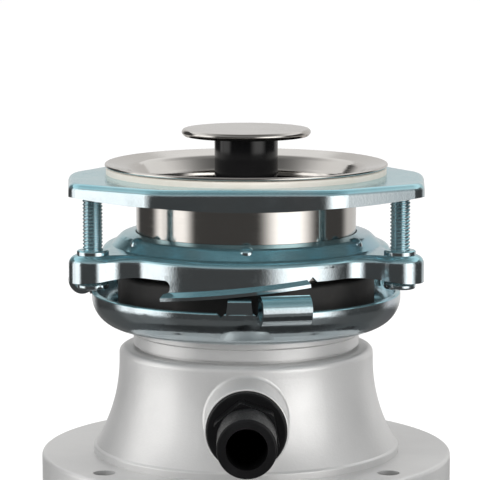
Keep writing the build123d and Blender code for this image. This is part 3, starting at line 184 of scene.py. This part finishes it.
def zinc_plating():
    """Bright zinc, passivated blue, with a straw and violet flush and fine scuffs; faces that point upwards
    carry a painted teal reflection and a little less metal.
    """
    f = Finish("zinc_plating")
    patch = noise(f.tree, f.place, 16.0, 2.0)
    drift = noise(f.tree, f.place, 30.0, 3.0)
    grain = noise(f.tree, f.place, 1100.0, 3.0)
    # Painted reflection: the more a face points upwards, the more its colour turns from the upright walls'
    # colour to a deeper teal, standing in for the sheen those faces catch from the light.
    facing = put(f.tree, "ShaderNodeNewGeometry").outputs["Normal"]
    slope = put(f.tree, "ShaderNodeSeparateXYZ", {0: facing}).outputs[2]
    upfacing_painted_tint_mask = ramp(f.tree, slope, 0.10, 0.65)
    wall = mixed(f.tree, ramp(f.tree, drift, 0.40, 0.66), (0.62, 0.69, 0.72), (0.56, 0.65, 0.69))
    painted_teal_reflection = mixed(f.tree, ramp(f.tree, drift, 0.36, 0.66), (0.30, 0.58, 0.66), (0.38, 0.64, 0.70))
    cool = mixed(f.tree, upfacing_painted_tint_mask, wall, painted_teal_reflection)
    tinted = mixed(f.tree, ramp(f.tree, patch, 0.58, 0.74, 0.0, 0.35), cool, (0.71, 0.62, 0.62))
    shade = mixed(f.tree, ramp(f.tree, patch, 0.42, 0.28, 0.0, 0.35), tinted, (0.55, 0.60, 0.74))
    scuff = noise(f.tree, f.place, 240.0, 6.0, 0.7)
    worn = ramp(f.tree, scuff, 0.40, 0.75, 0.10, 0.20)
    rough = sums(f.tree, "ADD", worn, ramp(f.tree, grain, 0.3, 0.8, 0.0, 0.04))
    dents = f.bump(drift, 0.0003, 0.2)
    lustre = f.bump(grain, 0.00004, 0.6, dents)
    # Painted reflection: upward faces lose some metal so that their painted teal shows.
    metal = ramp(f.tree, slope, 0.10, 0.65, 1.0, 0.84)
    return f.wire(Base_Color=shade, Metallic=metal, Roughness=rough, Normal=lustre)


def screw_steel():
    """Plated screw steel with a grey bloom."""
    f = Finish("screw_steel", metallic=1.0)
    bloom = noise(f.tree, f.place, 320.0, 5.0, 0.6)
    shade = mixed(f.tree, ramp(f.tree, bloom, 0.35, 0.7), (0.62, 0.63, 0.64), (0.45, 0.46, 0.47))
    rough = ramp(f.tree, bloom, 0.3, 0.75, 0.22, 0.42)
    return f.wire(Base_Color=shade, Roughness=rough, Normal=f.bump(bloom, 0.00003, 0.6))


def blackened_steel():
    """Oxide-black screw steel, rubbed grey in places."""
    f = Finish("blackened_steel", metallic=0.8)
    rub = noise(f.tree, f.place, 420.0, 5.0, 0.6)
    shade = mixed(f.tree, ramp(f.tree, rub, 0.45, 0.75), (0.02, 0.02, 0.021), (0.07, 0.07, 0.072))
    rough = ramp(f.tree, rub, 0.3, 0.75, 0.5, 0.35)
    return f.wire(Base_Color=shade, Roughness=rough, Normal=f.bump(rub, 0.00003, 0.5))


def silver_paint():
    """Silver paint over a casting: metal flake, the sand grain under it and slight runs of tone."""
    f = Finish("silver_paint", metallic=0.55, Coat_Weight=0.15, Coat_Roughness=0.35)
    grain = noise(f.tree, f.place, 750.0, 4.0, 0.6)
    swell = noise(f.tree, f.place, 60.0, 3.0)
    tone = noise(f.tree, f.place, 14.0, 4.0)
    flake = noise(f.tree, f.place, 5200.0, 1.0)
    base = mixed(f.tree, ramp(f.tree, tone, 0.35, 0.68), (0.67, 0.67, 0.665), (0.60, 0.60, 0.597))
    shade = mixed(f.tree, ramp(f.tree, flake, 0.55, 0.75, 0.0, 0.35), base, (0.84, 0.84, 0.835))
    flaked = ramp(f.tree, flake, 0.3, 0.7, 0.30, 0.40)
    rough = sums(f.tree, "ADD", flaked, ramp(f.tree, swell, 0.3, 0.7, 0.0, 0.06))
    rolls = f.bump(swell, 0.0006, 0.18)
    return f.wire(Base_Color=shade, Roughness=rough, Normal=f.bump(grain, 0.00012, 0.55, rolls))


def cast_alloy():
    """Bare cast alloy of the end bell and the rotor's cage."""
    f = Finish("cast_alloy", metallic=0.85)
    grain = noise(f.tree, f.place, 800.0, 5.0, 0.65)
    tone = noise(f.tree, f.place, 40.0, 3.0)
    shade = mixed(f.tree, ramp(f.tree, tone, 0.35, 0.7), (0.52, 0.53, 0.54), (0.40, 0.41, 0.42))
    rough = ramp(f.tree, grain, 0.3, 0.75, 0.42, 0.62)
    return f.wire(Base_Color=shade, Roughness=rough, Normal=f.bump(grain, 0.0002, 0.7))


def shell_enamel():
    """Grey enamel on rolled sheet, with an orange-peel surface."""
    f = Finish("shell_enamel", metallic=0.1, Coat_Weight=0.3, Coat_Roughness=0.2)
    peel = noise(f.tree, f.place, 420.0, 2.0)
    tone = noise(f.tree, f.place, 11.0, 4.0)
    shade = mixed(f.tree, ramp(f.tree, tone, 0.35, 0.7), (0.34, 0.355, 0.375), (0.30, 0.315, 0.335))
    rough = ramp(f.tree, peel, 0.3, 0.7, 0.32, 0.42)
    return f.wire(Base_Color=shade, Roughness=rough, Normal=f.bump(peel, 0.00012, 0.3))


def gloss_black():
    """Glossy black moulded plastic with faint flow marks and specks of dust."""
    f = Finish("gloss_black", roughness=0.1, Specular_IOR_Level=0.35)
    flow = noise(f.tree, f.place, 34.0, 3.0)
    specks = noise(f.tree, f.place, 1300.0, 2.0)
    shade = mixed(f.tree, ramp(f.tree, flow, 0.35, 0.7), (0.0045, 0.0045, 0.005), (0.008, 0.008, 0.009))
    polish = ramp(f.tree, flow, 0.3, 0.75, 0.07, 0.16)
    rough = sums(f.tree, "ADD", polish, ramp(f.tree, specks, 0.62, 0.75, 0.0, 0.12))
    return f.wire(Base_Color=shade, Roughness=rough, Normal=f.bump(flow, 0.0002, 0.12))


def satin_black():
    """Black moulded plastic with a fine spark-eroded texture."""
    f = Finish("satin_black", roughness=0.4, Specular_IOR_Level=0.22)
    grain = noise(f.tree, f.place, 1500.0, 3.0)
    tone = noise(f.tree, f.place, 55.0, 3.0)
    shade = mixed(f.tree, ramp(f.tree, tone, 0.35, 0.7), (0.004, 0.004, 0.0044), (0.007, 0.007, 0.0077))
    rough = ramp(f.tree, grain, 0.3, 0.7, 0.30, 0.48)
    return f.wire(Base_Color=shade, Roughness=rough, Normal=f.bump(grain, 0.00006, 0.5))


def rubber(name, light, dark, bloom):
    """Moulded rubber with a dusty bloom and a soft grain."""
    f = Finish(name, roughness=0.6)
    cloud = noise(f.tree, f.place, 70.0, 5.0, 0.6)
    grain = noise(f.tree, f.place, 1700.0, 2.0)
    base = mixed(f.tree, ramp(f.tree, cloud, 0.35, 0.7), light, dark)
    shade = mixed(f.tree, ramp(f.tree, cloud, 0.55, 0.8, 0.0, 0.35), base, bloom)
    rough = ramp(f.tree, cloud, 0.3, 0.75, 0.48, 0.72)
    return f.wire(Base_Color=shade, Roughness=rough, Normal=f.bump(grain, 0.00008, 0.5))


def bronze():
    """Sintered bronze, oily and slightly pitted."""
    f = Finish("sintered_bronze", metallic=1.0)
    pits = noise(f.tree, f.place, 1400.0, 4.0, 0.6)
    shade = mixed(f.tree, ramp(f.tree, pits, 0.35, 0.65), (0.42, 0.25, 0.10), (0.62, 0.42, 0.19))
    rough = ramp(f.tree, pits, 0.3, 0.7, 0.42, 0.24)
    return f.wire(Base_Color=shade, Roughness=rough, Normal=f.bump(pits, 0.00006))


def laminated_iron():
    """Varnished laminations, half a millimetre thick, seen edge on."""
    f = Finish("laminated_iron", metallic=0.7)
    height = put(f.tree, "ShaderNodeSeparateXYZ", {0: f.place}).outputs[2]
    sheet = sums(f.tree, "PINGPONG", sums(f.tree, "MULTIPLY", height, 1000.0), 0.5)
    stain = noise(f.tree, f.place, 90.0, 4.0)
    base = mixed(f.tree, ramp(f.tree, stain, 0.35, 0.7), (0.16, 0.165, 0.18), (0.10, 0.085, 0.07))
    shade = mixed(f.tree, ramp(f.tree, sheet, 0.0, 0.12, 0.75, 0.0), base, (0.02, 0.02, 0.02))
    rough = ramp(f.tree, stain, 0.3, 0.7, 0.34, 0.5)
    return f.wire(Base_Color=shade, Roughness=rough, Normal=f.bump(sheet, 0.0001, 0.5))


def magnet_wire():
    """Enamelled copper wire."""
    f = Finish("magnet_wire", metallic=1.0, Coat_Weight=0.6, Coat_Roughness=0.12)
    stain = noise(f.tree, f.place, 130.0, 4.0)
    shade = mixed(f.tree, ramp(f.tree, stain, 0.35, 0.7), (0.64, 0.25, 0.09), (0.42, 0.14, 0.05))
    return f.wire(Base_Color=shade, Roughness=ramp(f.tree, stain, 0.3, 0.7, 0.2, 0.36))


def gasket_fibre():
    """Compressed dark fibre sheet."""
    f = Finish("gasket_fibre", roughness=0.8)
    strands = noise(f.tree, f.place, 700.0, 6.0, 0.7)
    shade = mixed(f.tree, ramp(f.tree, strands, 0.35, 0.7), (0.05, 0.045, 0.04), (0.11, 0.10, 0.085))
    rough = ramp(f.tree, strands, 0.3, 0.7, 0.7, 0.9)
    return f.wire(Base_Color=shade, Roughness=rough, Normal=f.bump(strands, 0.0001))


def button_red():
    """Glossy red plastic of the reset button."""
    f = Finish("button_red", roughness=0.2)
    flow = noise(f.tree, f.place, 150.0, 3.0)
    shade = mixed(f.tree, ramp(f.tree, flow, 0.35, 0.7), (0.55, 0.02, 0.015), (0.42, 0.012, 0.01))
    return f.wire(Base_Color=shade, Roughness=ramp(f.tree, flow, 0.3, 0.7, 0.16, 0.28))


steel = polished_stainless()
plain_steel = ground_steel()
zinc = zinc_plating()
screws = screw_steel()
black_screws = blackened_steel()
silver = silver_paint()
alloy = cast_alloy()
enamel = shell_enamel()
glossy = gloss_black()
satin = satin_black()
black_rubber = rubber("black_rubber", (0.016, 0.016, 0.016), (0.026, 0.025, 0.024), (0.075, 0.072, 0.068))
cream_rubber = rubber("cream_rubber", (0.76, 0.71, 0.64), (0.70, 0.65, 0.57), (0.80, 0.76, 0.71))
bushes = bronze()
laminations = laminated_iron()
copper = magnet_wire()
fibre = gasket_fibre()
red = button_red()

node_finishes = {
    steel: ["stopper_cap", "sink_flange"],
    plain_steel: [
        "snap_ring",
        "shredder_ring",
        "turntable",
        "turntable_nut",
        "lug_left",
        "lug_right",
        "lug_rivets",
        "rotor_shaft",
        "thrust_washer",
        "wiring_cover",
    ],
    zinc: ["backup_flange", "mounting_ring", "mounting_bolts", "lower_ring", "turning_tubes"],
    black_screws: ["hopper_screws"],
    screws: ["tie_bolts", "cap_screws", "cover_screw", "discharge_screws", "discharge_clamp"],
    glossy: ["stopper_stem", "discharge_elbow"],
    satin: ["inlet_fitting", "bottom_cap", "start_switch", "overload_protector", "governor"],
    black_rubber: [
        "stopper_seal",
        "neck_gasket",
        "splash_guard",
        "inlet_gasket",
        "shaft_seal",
        "port_gasket",
    ],
    cream_rubber: ["rim_gasket"],
    fibre: ["chamber_gasket"],
    silver: ["hopper", "drum_cover", "grind_chamber"],
    alloy: ["lower_end_bell", "rotor_end_rings"],
    bushes: ["upper_bearing", "lower_bearing"],
    laminations: ["stator_core", "rotor_core"],
    copper: ["upper_winding", "lower_winding"],
    enamel: ["motor_shell"],
    red: ["reset_button"],
}
for finish, names in node_finishes.items():
    for name in names:
        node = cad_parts[name]
        node.data.materials.clear()
        node.data.materials.append(finish)

# ---------------------------------------------------------------- threaded bolts
bolt_radius = 3.97 * MM
bolt_head_radius = 6.2 * MM
bolt_head_height = 2.7 * MM
bolt_count = 3
first_bolt_bearing = radians(60)
thread_pitch = 1.41 * MM
thread_depth = 0.55 * MM
thread_facets = 28
thread_rows_per_pitch = 8
# Share of half a pitch left flat at the crest, and again at the root.
thread_flat = 0.12
# The heads are cut off, and the thread starts, this far past them.
neck_gap = 0.2 * MM
# Rows nearer than this to a rod's end close on its axis, and points nearer than the weld join up.
end_margin = 0.02 * MM
weld_gap = 0.004 * MM
head_weld_gap = 0.001 * MM
head_crease = radians(35)


def inputs_of(tree, **sizes):
    """Names a tree's inputs, with the geometry first, and returns their sockets by name."""
    tree.interface.new_socket("Geometry", in_out="INPUT", socket_type="NodeSocketGeometry")
    tree.interface.new_socket("Geometry", in_out="OUTPUT", socket_type="NodeSocketGeometry")
    for name, value in sizes.items():
        kind = {int: "NodeSocketInt", float: "NodeSocketFloat"}.get(type(value), "NodeSocketMaterial")
        socket = tree.interface.new_socket(name, in_out="INPUT", socket_type=kind)
        if kind != "NodeSocketMaterial":
            socket.default_value = value
    group = tree.nodes.new("NodeGroupInput")
    return {socket.name: socket for socket in group.outputs}


def sized(piece, tree, **sizes):
    """Runs a tree on a piece with its own sizes, and leaves a plain mesh."""
    modifier = piece.modifiers.new("made", "NODES")
    modifier.node_group = tree
    for item in tree.interface.items_tree:
        if item.in_out == "INPUT" and item.name in sizes:
            modifier[item.identifier] = sizes[item.name]
    bpy.context.view_layer.update()
    made = piece.evaluated_get(bpy.context.evaluated_depsgraph_get())
    mesh = bpy.data.meshes.new_from_object(made)
    piece.modifiers.remove(modifier)
    piece.data = mesh
    mesh.name = piece.name
    return piece


def thread_tree():
    """Threaded rods standing on the points of a ring, joined to the geometry that comes in."""
    tree = bpy.data.node_groups.new("threaded_rods", "GeometryNodeTree")
    given = inputs_of(
        tree,
        Radius=0.004,
        Depth=0.0005,
        Pitch=0.0014,
        Length=0.04,
        Low=0.0,
        Circle=0.07,
        Count=3,
        Turn=0.0,
        Rows=120,
        Material=zinc,
    )
    grid = put(
        tree,
        "GeometryNodeMeshGrid",
        {
            "Size X": tau,
            "Size Y": given["Length"],
            "Vertices X": thread_facets + 1,
            "Vertices Y": given["Rows"],
        },
    )
    position = put(tree, "GeometryNodeInputPosition").outputs[0]
    place = put(tree, "ShaderNodeSeparateXYZ", {0: position}).outputs
    angle = place[0]
    height = sums(tree, "ADD", place[1], sums(tree, "MULTIPLY", given["Length"], 0.5))
    climb = sums(tree, "DIVIDE", height, given["Pitch"])
    turns = sums(tree, "SUBTRACT", climb, sums(tree, "DIVIDE", angle, tau))
    groove = sums(tree, "MULTIPLY", sums(tree, "PINGPONG", turns, 0.5), 2.0)
    groove = ramp(tree, groove, thread_flat, 1.0 - thread_flat)
    radius = sums(tree, "SUBTRACT", given["Radius"], sums(tree, "MULTIPLY", groove, given["Depth"]))
    above_foot = sums(tree, "GREATER_THAN", height, end_margin)
    top = sums(tree, "SUBTRACT", given["Length"], end_margin)
    open_between = sums(tree, "MULTIPLY", above_foot, sums(tree, "LESS_THAN", height, top))
    radius = sums(tree, "MULTIPLY", radius, open_between)
    spot = put(
        tree,
        "ShaderNodeCombineXYZ",
        {
            0: sums(tree, "MULTIPLY", radius, sums(tree, "COSINE", angle)),
            1: sums(tree, "MULTIPLY", radius, sums(tree, "SINE", angle)),
            2: sums(tree, "ADD", height, given["Low"]),
        },
    ).outputs[0]
    sheet = grid.outputs["Mesh"]
    rod = put(tree, "GeometryNodeSetPosition", {"Geometry": sheet, "Position": spot}).outputs[0]
    rod = put(tree, "GeometryNodeMergeByDistance", {"Geometry": rod, "Distance": weld_gap}).outputs[0]
    rod = put(tree, "GeometryNodeSetShadeSmooth", {"Geometry": rod}).outputs[0]
    index = put(tree, "GeometryNodeInputIndex").outputs[0]
    step = sums(tree, "DIVIDE", sums(tree, "MULTIPLY", index, tau), given["Count"])
    bearing = sums(tree, "ADD", step, given["Turn"])
    forward = sums(tree, "MULTIPLY", sums(tree, "COSINE", bearing), -1.0)
    foot = put(
        tree,
        "ShaderNodeCombineXYZ",
        {
            0: sums(tree, "MULTIPLY", given["Circle"], sums(tree, "SINE", bearing)),
            1: sums(tree, "MULTIPLY", given["Circle"], forward),
        },
    ).outputs[0]
    points = put(tree, "GeometryNodePoints", {"Count": given["Count"], "Position": foot}).outputs[0]
    copies = put(tree, "GeometryNodeInstanceOnPoints", {"Points": points, "Instance": rod}).outputs[0]
    join = put(tree, "GeometryNodeJoinGeometry", {0: copies})
    tree.links.new(given["Geometry"], join.inputs[0])
    real = put(tree, "GeometryNodeRealizeInstances", {"Geometry": join.outputs[0]}).outputs[0]
    covering = {"Geometry": real, "Material": given["Material"]}
    done = put(tree, "GeometryNodeSetMaterial", covering).outputs[0]
    put(tree, "NodeGroupOutput", {0: done})
    return tree


def heads_of(name, height):
    """The lower end of a node's screws up to a height, closed, as a new mesh."""
    bm = bmesh.new()
    bm.from_mesh(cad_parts[name].data)
    bmesh.ops.remove_doubles(bm, verts=bm.verts, dist=head_weld_gap)
    bmesh.ops.bisect_plane(
        bm,
        geom=[*bm.verts, *bm.edges, *bm.faces],
        plane_co=(0, 0, height),
        plane_no=(0, 0, 1),
        clear_outer=True,
    )
    bmesh.ops.holes_fill(bm, edges=[edge for edge in bm.edges if edge.is_boundary])
    mesh = bpy.data.meshes.new(name + "_heads")
    bm.to_mesh(mesh)
    bm.free()
    mesh.set_sharp_from_angle(angle=head_crease)
    return mesh


def threaded_bolts():
    """The three slotted mounting bolts, with their threads cut."""
    low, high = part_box("mounting_bolts")
    circle = high.y - bolt_head_radius
    neck = low.z + bolt_head_height + neck_gap
    piece = bpy.data.objects.new("threaded_bolts", heads_of("mounting_bolts", neck))
    bpy.context.scene.collection.objects.link(piece)
    length = high.z - neck
    sized(
        piece,
        thread_tree(),
        Radius=bolt_radius,
        Depth=thread_depth,
        Pitch=thread_pitch,
        Length=length,
        Low=neck,
        Circle=circle,
        Count=bolt_count,
        Turn=first_bolt_bearing,
        Rows=int(thread_rows_per_pitch * length / thread_pitch),
        Material=zinc,
    )
    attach(piece, "casing")
    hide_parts("mounting_bolts")


threaded_bolts()

# ---------------------------------------------------------------- studio
rim_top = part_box("sink_flange")[1].z
floor_half = 14.0
floor_gap = 0.5 * MM
floor_glow = 0.12


def stand(name, mesh, material):
    """Adds a piece of the studio, which isn't part of the object."""
    piece = bpy.data.objects.new(name, mesh)
    bpy.context.scene.collection.objects.link(piece)
    piece.data.materials.append(material)
    piece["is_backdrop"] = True
    return piece


def floor():
    """A wide, pale, faintly lit floor under the object, left out of its reflections."""
    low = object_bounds()[0].z - floor_gap
    mesh = bpy.data.meshes.new("floor")
    signs = ((-1, -1), (1, -1), (1, 1), (-1, 1))
    corners = [(x * floor_half, y * floor_half, low) for x, y in signs]
    mesh.from_pydata(corners, [], [(0, 1, 2, 3)])
    f = Finish("floor_paint", roughness=0.7, Emission_Strength=floor_glow)
    tone = noise(f.tree, f.place, 1.5, 2.0)
    f.wire(Base_Color=mixed(f.tree, tone, (0.93, 0.93, 0.93), (0.95, 0.95, 0.95)))
    stand("floor", mesh, f.material).visible_glossy = False


# Light panels of the tent: bearing of the middle from the front, positive to the right, half width and
# soft edge in degrees, and brightness. The seam takes its brightness away from the panel it crosses.
panels = [
    (-84.0, 23.0, 16.0, 1.5),
    (45.0, 21.0, 28.0, 1.95),
    (166.0, 42.0, 18.0, 0.62),
]
seam = (-93.0, 4.0, 7.0, 0.4)
# Brightness between the panels, the share of all this that is left low down, and what the floor adds
# there, each with the heights over which it changes.
gap_shine = 0.065
panel_fade = (-0.22, 0.0)
faded_share = 0.05
floor_fade = (-0.25, -0.05)
floor_shine = 0.10
tent_tint = (1.0, 0.985, 0.97, 1.0)
tent_radius = 1.6
tent_levels = (-0.9, 1.1)
tent_sides = 96

# Brightness of the room beyond the tent: behind the object, on matt surfaces, and what is left of it in
# reflections overhead, at the horizon, in front and below.
room_white = 1.1
room_on_matt = 0.62
room_zenith = 0.28
room_horizon = 0.5
room_front = 0.38
room_floor = 0.20
# The same changes, as heights or depths of a ray's direction.
zenith_fade = (0.62, 0.95)
horizon_fade = (0.20, 0.50)
front_fade = (-0.35, 0.15)
below_fade = (-0.25, 0.0)
overhead_power = 1.15
overhead_spread = radians(60)
lamp_target = Vector((0.0, 0.0, 0.22))


def tent():
    """A round wall of light panels with dark gaps, seen only in the object's reflections."""
    mesh = bpy.data.meshes.new("tent")
    points = []
    for level in tent_levels:
        for i in range(tent_sides):
            turn = tau * i / tent_sides
            points.append((tent_radius * sin(turn), -tent_radius * cos(turn), level))
    faces = []
    for i in range(tent_sides):
        following = (i + 1) % tent_sides
        faces.append((i, following, tent_sides + following, tent_sides + i))
    mesh.from_pydata(points, [], faces)
    material = bpy.data.materials.new("tent_light")
    material.use_nodes = True
    tree = material.node_tree
    tree.nodes.remove(tree.nodes["Principled BSDF"])
    place = put(tree, "ShaderNodeTexCoord").outputs["Object"]
    parts = put(tree, "ShaderNodeSeparateXYZ", {0: place}).outputs
    bearing = sums(tree, "ARCTAN2", parts[0], sums(tree, "MULTIPLY", parts[1], -1.0))
    bearing = sums(tree, "MULTIPLY", bearing, 180.0 / pi)
    shine = gap_shine

    def band(middle, half_width, edge):
        turned = sums(tree, "WRAP", sums(tree, "SUBTRACT", bearing, middle), 180.0, -180.0)
        off = sums(tree, "ABSOLUTE", turned)
        return ramp(tree, off, half_width - edge / 2, half_width + edge / 2, 1.0, 0.0)

    for middle, half_width, edge, bright in panels:
        shine = sums(tree, "ADD", sums(tree, "MULTIPLY", band(middle, half_width, edge), bright), shine)
    middle, half_width, edge, dim = seam
    shine = sums(tree, "SUBTRACT", shine, sums(tree, "MULTIPLY", band(middle, half_width, edge), dim))
    shine = sums(tree, "MULTIPLY", shine, ramp(tree, parts[2], *panel_fade, faded_share, 1.0))
    shine = sums(tree, "ADD", shine, ramp(tree, parts[2], *floor_fade, floor_shine, 0.0))
    glow = put(tree, "ShaderNodeEmission", {"Color": tent_tint, "Strength": shine})
    tree.links.new(glow.outputs[0], tree.nodes["Material Output"].inputs["Surface"])
    piece = stand("tent", mesh, material)
    for ray in ("camera", "diffuse", "transmission", "shadow", "volume_scatter"):
        setattr(piece, "visible_" + ray, False)


def lamp(name, place, size, power):
    """A rectangular studio light aimed at the object, left out of its reflections."""
    light = bpy.data.lights.new(name, "AREA")
    light.shape = "RECTANGLE"
    light.size, light.size_y = size
    light.energy = power
    piece = bpy.data.objects.new(name, light)
    bpy.context.scene.collection.objects.link(piece)
    piece.location = place
    piece.rotation_euler = (lamp_target - Vector(place)).to_track_quat("-Z", "Y").to_euler()
    piece.visible_glossy = False


def daylight():
    """The room's own light, and a wide overhead lamp that no reflection shows."""
    world = bpy.data.worlds.new("studio")
    world.use_nodes = True
    tree = world.node_tree
    aim = put(tree, "ShaderNodeTexCoord").outputs["Generated"]
    _, depth, height = put(tree, "ShaderNodeSeparateXYZ", {0: aim}).outputs
    climb = ramp(tree, height, *horizon_fade, room_horizon, 1.0)
    above = sums(tree, "MULTIPLY", climb, ramp(tree, height, *zenith_fade, 1.0, room_zenith))
    above = sums(tree, "MULTIPLY", above, ramp(tree, depth, *front_fade, room_front, 1.0))
    room = sums(tree, "MULTIPLY", above, ramp(tree, height, *below_fade, room_floor, 1.0))
    rays = put(tree, "ShaderNodeLightPath").outputs
    level = put(tree, "ShaderNodeMix", {0: rays["Is Glossy Ray"], 2: room_on_matt, 3: room}).outputs[0]
    level = put(tree, "ShaderNodeMix", {0: rays["Is Camera Ray"], 2: level, 3: room_white}).outputs[0]
    tree.links.new(level, tree.nodes["Background"].inputs["Strength"])
    tree.nodes["Background"].inputs["Color"].default_value = (1.0, 1.0, 1.0, 1.0)
    bpy.context.scene.world = world
    light = bpy.data.lights.new("overhead", "SUN")
    light.energy = overhead_power
    light.angle = overhead_spread
    piece = bpy.data.objects.new("overhead", light)
    piece.visible_glossy = False
    bpy.context.scene.collection.objects.link(piece)


def camera():
    """A long lens in front of the object, a little above the sink flange and looking slightly down."""
    distance = 1.078
    height = 0.116
    side = -0.0025
    tilt = radians(7.8)
    data = bpy.data.cameras.new("camera")
    data.sensor_width = 36.0
    data.lens = 201.3
    piece = bpy.data.objects.new("camera", data)
    bpy.context.scene.collection.objects.link(piece)
    piece.location = (side, -distance, rim_top + height)
    piece.rotation_euler = (radians(90) - tilt, 0.0, 0.0)
    bpy.context.scene.camera = piece


floor()
tent()
daylight()
camera()
lamp("key", (-1.3, -1.2, 0.8), (0.9, 0.9), 19.0)
lamp("fill", (1.4, -0.9, 0.6), (0.6, 1.2), 13.0)
bpy.context.scene.view_settings.view_transform = "Standard"
